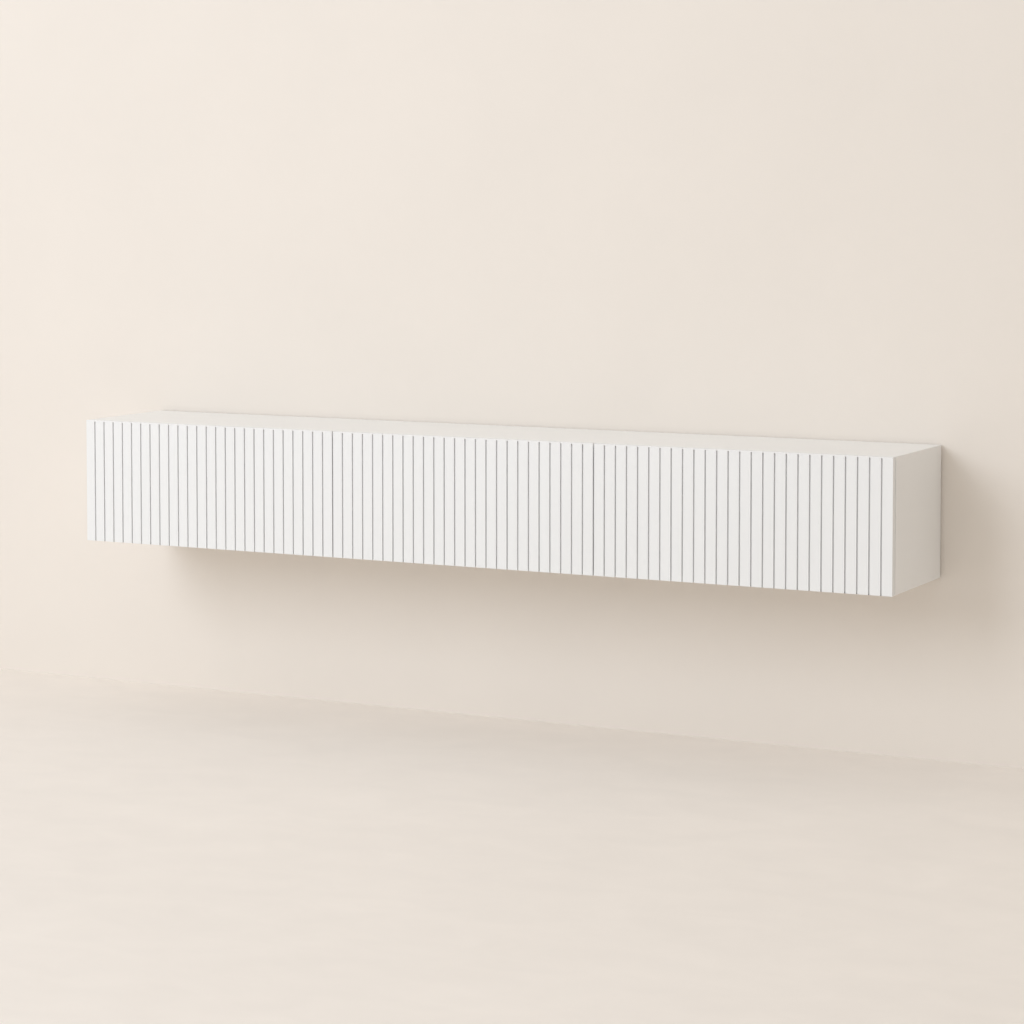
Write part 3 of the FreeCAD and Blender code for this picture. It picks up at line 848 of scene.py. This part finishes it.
class CONSOLE_OT_carcass_boards(bpy.types.Operator):
    """Round the front and rear edges of the carcass boards and the dividers"""

    bl_idname = "console.carcass_boards"
    bl_label = "Carcass Boards"
    bl_options = {"REGISTER", "UNDO"}

    def execute(self, context):
        sizes = context.scene.console_sizes
        along_x, along_z = 0, 2
        for node in ("top_panel", "bottom_panel"):
            ease_board(node, along_x, sizes)
        for node in ("left_side_panel", "right_side_panel", "left_divider", "right_divider"):
            ease_board(node, along_z, sizes)
        return {"FINISHED"}


class CONSOLE_OT_cable_outlets(bpy.types.Operator):
    """Round the rims of the cable grommets and soften the wall buffers"""

    bl_idname = "console.cable_outlets"
    bl_label = "Grommets and Buffers"
    bl_options = {"REGISTER", "UNDO"}

    def execute(self, context):
        sizes = context.scene.console_sizes
        ease_node("cable_grommets", sizes.moulded_edge, 3)
        ease_node("wall_buffers", sizes.moulded_edge * 2, 3)
        return {"FINISHED"}


class CONSOLE_OT_wall_hanging(bpy.types.Operator):
    """Finish the wall rail and the four adjustable hangers with their fixing screws"""

    bl_idname = "console.wall_hanging"
    bl_label = "Wall Rail and Hangers"
    bl_options = {"REGISTER", "UNDO"}

    screw_inset = 0.009

    def execute(self, context):
        sizes = context.scene.console_sizes
        ease_node("wall_rail", sizes.steel_edge)
        ease_node("hanger_adjusting_screws", sizes.steel_edge)
        head = model_screw_head(sizes.screw_radius, sizes.screw_height)
        inset = self.screw_inset
        for hanger, (_, side) in HANGER_FACE.items():
            case = hanger + "_hanger_case"
            ease_node(case, sizes.moulded_edge)
            ease_node(hanger + "_hanger_hook", sizes.steel_edge)
            low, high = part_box(case)
            front, foot, rear, top = low.y + inset, low.z + inset, high.y - inset, high.z - inset
            spots = [
                ((inner_side(case, side), y, z), (side, 0, 0))
                for y, z in ((front, foot), (front, top), (rear, foot))
            ]
            seat(head, spots, case + "_screws", "zinc_plated_steel", "carcass")
        bpy.data.objects.remove(head)
        return {"FINISHED"}


class CONSOLE_OT_flap_hinges(bpy.types.Operator):
    """Finish the hinges' plates, leaves and pins and add their wood screws"""

    bl_idname = "console.flap_hinges"
    bl_label = "Flap Hinges"
    bl_options = {"REGISTER", "UNDO"}

    plate_screws = ((0.009, 0.009), (0.033, 0.009), (0.009, 0.029))
    leaf_screws = (0.008, 0.028)
    leaf_middle = 0.016

    def execute(self, context):
        sizes = context.scene.console_sizes
        head = model_screw_head(sizes.screw_radius, sizes.screw_height)
        for flap, ends in FLAP_ENDS.items():
            plates, leaves = flap + "_flap_hinge_plates", flap + "_flap_hinge_leaves"
            for node in (plates, leaves, flap + "_flap_hinge_pins"):
                ease_node(node, sizes.steel_edge)
            self.fix_plates(head, flap, ends, sizes)
            self.fix_leaves(head, flap, ends)
        bpy.data.objects.remove(head)
        return {"FINISHED"}

    def fix_plates(self, head, flap, ends, sizes):
        """Three screws through each plate, set in from its upper rear corner."""
        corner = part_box(flap + "_flap_hinge_plates")[1]
        spots = [
            (face_along(end, sizes.hinge_plate, corner.y - back, corner.z - down), (end[1], 0, 0))
            for end in ends
            for back, down in self.plate_screws
        ]
        seat(head, spots, flap + "_hinge_plate_screws", "nickel_plated_steel", "carcass")

    def fix_leaves(self, head, flap, ends):
        """Two screws through each leaf into the flap."""
        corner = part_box(flap + "_flap_hinge_leaves")[1]
        spots = [
            (face_along(end, self.leaf_middle, corner.y, corner.z - down), (0, 1, 0))
            for end in ends
            for down in self.leaf_screws
        ]
        seat(head, spots, flap + "_hinge_leaf_screws", "nickel_plated_steel", flap + "_flap")


class CONSOLE_OT_lid_stays(bpy.types.Operator):
    """Finish the lid stays and add their nuts, rivets, clips and wood screws"""

    bl_idname = "console.lid_stays"
    bl_label = "Lid Stays"
    bl_options = {"REGISTER", "UNDO"}

    link_play = 0.0003
    bracket_inset = 0.01
    screw_inset = 0.0085
    rivet_radius, rivet_height = 0.0042, 0.0011
    cap_radius, cap_height = 0.004, 0.0009
    nut_radius, nut_height = 0.0055, 0.0026

    def execute(self, context):
        sizes = context.scene.console_sizes
        head = model_screw_head(sizes.screw_radius, sizes.screw_height)
        rivet = model_rivet_head(self.rivet_radius, self.rivet_height)
        cap = model_rivet_head(self.cap_radius, self.cap_height)
        nut = model_hex_nut(self.nut_radius, self.nut_height)
        for flap, ends in FLAP_ENDS.items():
            ease_node(flap + "_stay_damper", sizes.moulded_edge * 1.5, 3)
            for node in ("_stay_crank", "_stay_link", "_stay_bracket"):
                ease_node(flap + node, sizes.steel_edge)
            end = ends[STAY_END[flap]]
            self.fit_crank(flap, end[1], rivet, cap, nut)
            self.fit_screws(flap, end, head, sizes)
        for template in (head, rivet, cap, nut):
            bpy.data.objects.remove(template)
        return {"FINISHED"}

    def fit_crank(self, flap, side, rivet, cap, nut):
        """The nut on the spindle, the rivet on the elbow's pin and the cap on the bracket's stud."""
        spindle = PIVOT_OF[flap + "_crank_spindle"]
        elbow = PIVOT_OF[flap + "_link_elbow"]
        stud = PIVOT_OF[flap + "_flap_hinge"] + elbow - spindle
        outward, inward = Vector((side, 0, 0)), Vector((-side, 0, 0))
        link = flap + "_stay_link"
        link_rear = inner_side(link, -side)
        crank_front = link_rear - side * self.link_play
        for template, name, x, place, way, body in (
            (nut, "_spindle_nut", crank_front, spindle, outward, "_crank"),
            (rivet, "_elbow_rivet", inner_side(link, side), elbow, outward, "_crank"),
            (cap, "_stud_cap", link_rear, stud, inward, "_flap"),
        ):
            seat(template, [((x, place.y, place.z), way)], flap + name, "nickel_plated_steel", flap + body)

    def fit_screws(self, flap, end, head, sizes):
        """Two screws through the damper's case and two through the bracket."""
        side = end[1]
        damper = flap + "_stay_damper"
        low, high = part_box(damper)
        inset = self.screw_inset
        spots = [
            ((inner_side(damper, side), y, low.z + inset), (side, 0, 0))
            for y in (low.y + inset, high.y - inset)
        ]
        seat(head, spots, flap + "_damper_screws", "zinc_plated_steel", "carcass")

        bracket = flap + "_stay_bracket"
        low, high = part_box(bracket)
        screw_x = inner_side(bracket, side) - side * self.bracket_inset
        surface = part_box(flap + "_flap_panel")[1].y + sizes.bracket_sheet
        middle = (low.z + high.z) / 2
        spots = [((screw_x, surface, middle + step), (0, 1, 0)) for step in (-inset, inset)]
        seat(head, spots, flap + "_bracket_screws", "nickel_plated_steel", flap + "_flap")


class CONSOLE_OT_push_latches(bpy.types.Operator):
    """Finish the push latches and add their screws and the magnets' faces"""

    bl_idname = "console.push_latches"
    bl_label = "Push Latches"
    bl_options = {"REGISTER", "UNDO"}

    small_screw = (0.45, 0.5)
    magnet_radius, magnet_height = 0.0023, 0.00015
    screw_beside, screw_front, screw_rear = 0.0056, 0.006, 0.01

    def execute(self, context):
        sizes = context.scene.console_sizes
        narrower, lower = self.small_screw
        head = model_screw_head(sizes.screw_radius * narrower, sizes.screw_height * lower)
        magnet = model_rivet_head(self.magnet_radius, self.magnet_height)
        beside, front, rear = self.screw_beside, self.screw_front, self.screw_rear
        for flap in FLAP_ENDS:
            ease_node(flap + "_latch_case", sizes.moulded_edge, ease=ease_outer_edges)
            ease_node(flap + "_latch_plunger", sizes.moulded_edge * 0.6)
            ease_node(flap + "_strike_plate", sizes.steel_edge * 0.8)
            low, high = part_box(flap + "_latch_case")
            middle = (low.x + high.x) / 2
            spots = [
                ((middle + across, y, low.z), (0, 0, -1))
                for across, y in ((-beside, low.y + front), (beside, low.y + front), (0, high.y - rear))
            ]
            seat(head, spots, flap + "_latch_screws", "zinc_plated_steel", "carcass")
            low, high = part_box(flap + "_latch_plunger")
            tip = ((low.x + high.x) / 2, low.y, (low.z + high.z) / 2)
            magnet_name = flap + "_latch_magnet"
            seat(magnet, [(tip, (0, -1, 0))], magnet_name, "nickel_plated_steel", flap + "_plunger")
        for template in (head, magnet):
            bpy.data.objects.remove(template)
        return {"FINISHED"}


class CONSOLE_OT_stage(bpy.types.Operator):
    """Set up the wall, the floor, the light and the camera"""

    bl_idname = "console.stage"
    bl_label = "Room, Light and Camera"
    bl_options = {"REGISTER", "UNDO"}

    def execute(self, context):
        stage = context.scene.console_stage
        self.build_floor(stage)
        self.build_wall(stage)
        self.light(context.scene, stage)
        self.place_camera(context.scene, stage)
        context.scene.view_settings.view_transform = "Standard"
        return {"FINISHED"}

    def build_floor(self, stage):
        """A plain floor that runs on behind the wall."""
        make_active(None)
        bpy.ops.mesh.primitive_plane_add(size=2 * stage.room_reach, location=(0, 0, -stage.floor_drop))
        floor = name_new("floor")
        apply_place(floor)
        floor.data.materials.append(smooth_floor("floor_screed", stage.floor_colour))

    def build_wall(self, stage):
        """A plain wall, open where the console covers it so that light reaches the console's back."""
        behind = 0.0003
        reach = stage.room_reach
        wall = add_box("wall", (-reach, behind, -stage.floor_drop), (reach, behind + reach, reach))
        bpy.ops.object.mode_set(mode="EDIT")
        pick(wall, "FACE", lambda face: face.normal.y > -FACING)
        bpy.ops.mesh.delete(type="FACE")
        beside_rail, inside_edge = 0.002, 0.012
        low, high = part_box("wall_rail")[0].x - beside_rail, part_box("wall_rail")[1].x + beside_rail
        foot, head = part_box("bottom_panel")[0].z + inside_edge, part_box("top_panel")[1].z - inside_edge
        for x in (low, high):
            cut((x, 0, 0), (1, 0, 0))
        for z in (foot, head):
            cut((0, 0, z), (0, 0, 1))

        def covered(face):
            place = face.calc_center_median()
            return low < place.x < high and foot < place.z < head

        pick(wall, "FACE", covered)
        bpy.ops.mesh.delete(type="FACE")
        bpy.ops.object.mode_set(mode="OBJECT")
        wall.data.materials.append(rolled_wall_paint("wall_paint", stage.wall_colour))

    def light(self, scene, stage):
        """A large soft lamp from the upper left and a soft sky, which shows as pale as the wall."""
        make_active(None)
        bpy.ops.object.light_add(type="AREA", location=stage.lamp_place)
        lamp = bpy.context.object
        lamp.name = "large_soft_lamp"
        lamp.data.energy = stage.lamp_power
        lamp.data.color = stage.lamp_colour
        lamp.data.size = stage.lamp_size
        lamp.rotation_euler = (-Vector(stage.lamp_place)).to_track_quat("-Z", "Y").to_euler()

        world = bpy.data.worlds.new("soft_sky")
        world.use_nodes = True
        scene.world = world
        nodes, links = world.node_tree.nodes, world.node_tree.links
        nodes.clear()

        def calculate(operation, first, second):
            node = nodes.new("ShaderNodeMath")
            node.operation = operation
            for socket, value in zip(node.inputs, (first, second)):
                if isinstance(value, bpy.types.NodeSocket):
                    links.new(value, socket)
                else:
                    socket.default_value = value
            return node.outputs["Value"]

        direction = nodes.new("ShaderNodeTexCoord")
        lean = nodes.new("ShaderNodeVectorMath")
        lean.operation = "DOT_PRODUCT"
        lean.inputs[1].default_value = stage.sky_lean
        links.new(direction.outputs["Generated"], lean.inputs[0])
        sky = nodes.new("ShaderNodeBackground")
        sky.inputs["Color"].default_value = (*stage.sky_colour, 1)
        strength = calculate("MULTIPLY", calculate("ADD", lean.outputs["Value"], 1), stage.sky_strength)
        links.new(strength, sky.inputs["Strength"])
        shown = nodes.new("ShaderNodeBackground")
        shown.inputs["Color"].default_value = (*stage.wall_colour, 1)

        ray = nodes.new("ShaderNodeLightPath").outputs
        seen = calculate("MAXIMUM", ray["Is Glossy Ray"], ray["Is Transmission Ray"])
        seen = calculate("MAXIMUM", ray["Is Camera Ray"], seen)
        mix = nodes.new("ShaderNodeMixShader")
        output = nodes.new("ShaderNodeOutputWorld")
        links.new(seen, mix.inputs["Fac"])
        links.new(sky.outputs["Background"], mix.inputs[1])
        links.new(shown.outputs["Background"], mix.inputs[2])
        links.new(mix.outputs["Shader"], output.inputs["Surface"])

    def place_camera(self, scene, stage):
        """A long lens from the front right, with the shift that keeps upright lines nearly upright."""
        upright = math.pi / 2
        bpy.ops.object.camera_add(
            location=stage.camera_place, rotation=(upright - stage.camera_dip, 0, stage.camera_turn)
        )
        camera = bpy.context.object
        camera.name = "camera"
        camera.data.sensor_width = stage.sensor
        camera.data.lens = stage.lens
        camera.data.shift_y = stage.lens_shift
        scene.camera = camera


class CONSOLE_PT_panel(bpy.types.Panel):
    """The console's sizes, finishes and steps"""

    bl_label = "Media Console"
    bl_idname = "CONSOLE_PT_panel"
    bl_space_type = "VIEW_3D"
    bl_region_type = "UI"
    bl_category = "Console"

    def draw(self, context):
        layout = self.layout
        layout.use_property_split = True
        for group in ("console_sizes", "console_finishes", "console_stage"):
            settings = getattr(context.scene, group)
            box = layout.box()
            box.label(text=settings.bl_rna.description)
            for name in settings.__annotations__:
                box.prop(settings, name)
        for step in STEPS:
            layout.operator(step.bl_idname)


GROUPS = {
    "console_sizes": ConsoleSizes,
    "console_finishes": ConsoleFinishes,
    "console_stage": ConsoleStage,
}
STEPS = (
    CONSOLE_OT_finishes,
    CONSOLE_OT_grooved_flaps,
    CONSOLE_OT_carcass_boards,
    CONSOLE_OT_cable_outlets,
    CONSOLE_OT_wall_hanging,
    CONSOLE_OT_flap_hinges,
    CONSOLE_OT_lid_stays,
    CONSOLE_OT_push_latches,
    CONSOLE_OT_stage,
)


def register():
    for name, group in GROUPS.items():
        bpy.utils.register_class(group)
        setattr(bpy.types.Scene, name, PointerProperty(type=group))
    for step in STEPS:
        bpy.utils.register_class(step)
    bpy.utils.register_class(CONSOLE_PT_panel)


def unregister():
    bpy.utils.unregister_class(CONSOLE_PT_panel)
    for step in reversed(STEPS):
        bpy.utils.unregister_class(step)
    for name, group in reversed(GROUPS.items()):
        delattr(bpy.types.Scene, name)
        bpy.utils.unregister_class(group)


def main():
    register()
    bpy.ops.console.finishes()
    bpy.ops.console.grooved_flaps()
    bpy.ops.console.carcass_boards()
    bpy.ops.console.cable_outlets()
    bpy.ops.console.wall_hanging()
    bpy.ops.console.flap_hinges()
    bpy.ops.console.lid_stays()
    bpy.ops.console.push_latches()
    bpy.ops.console.stage()


if __name__ == "__main__":
    main()
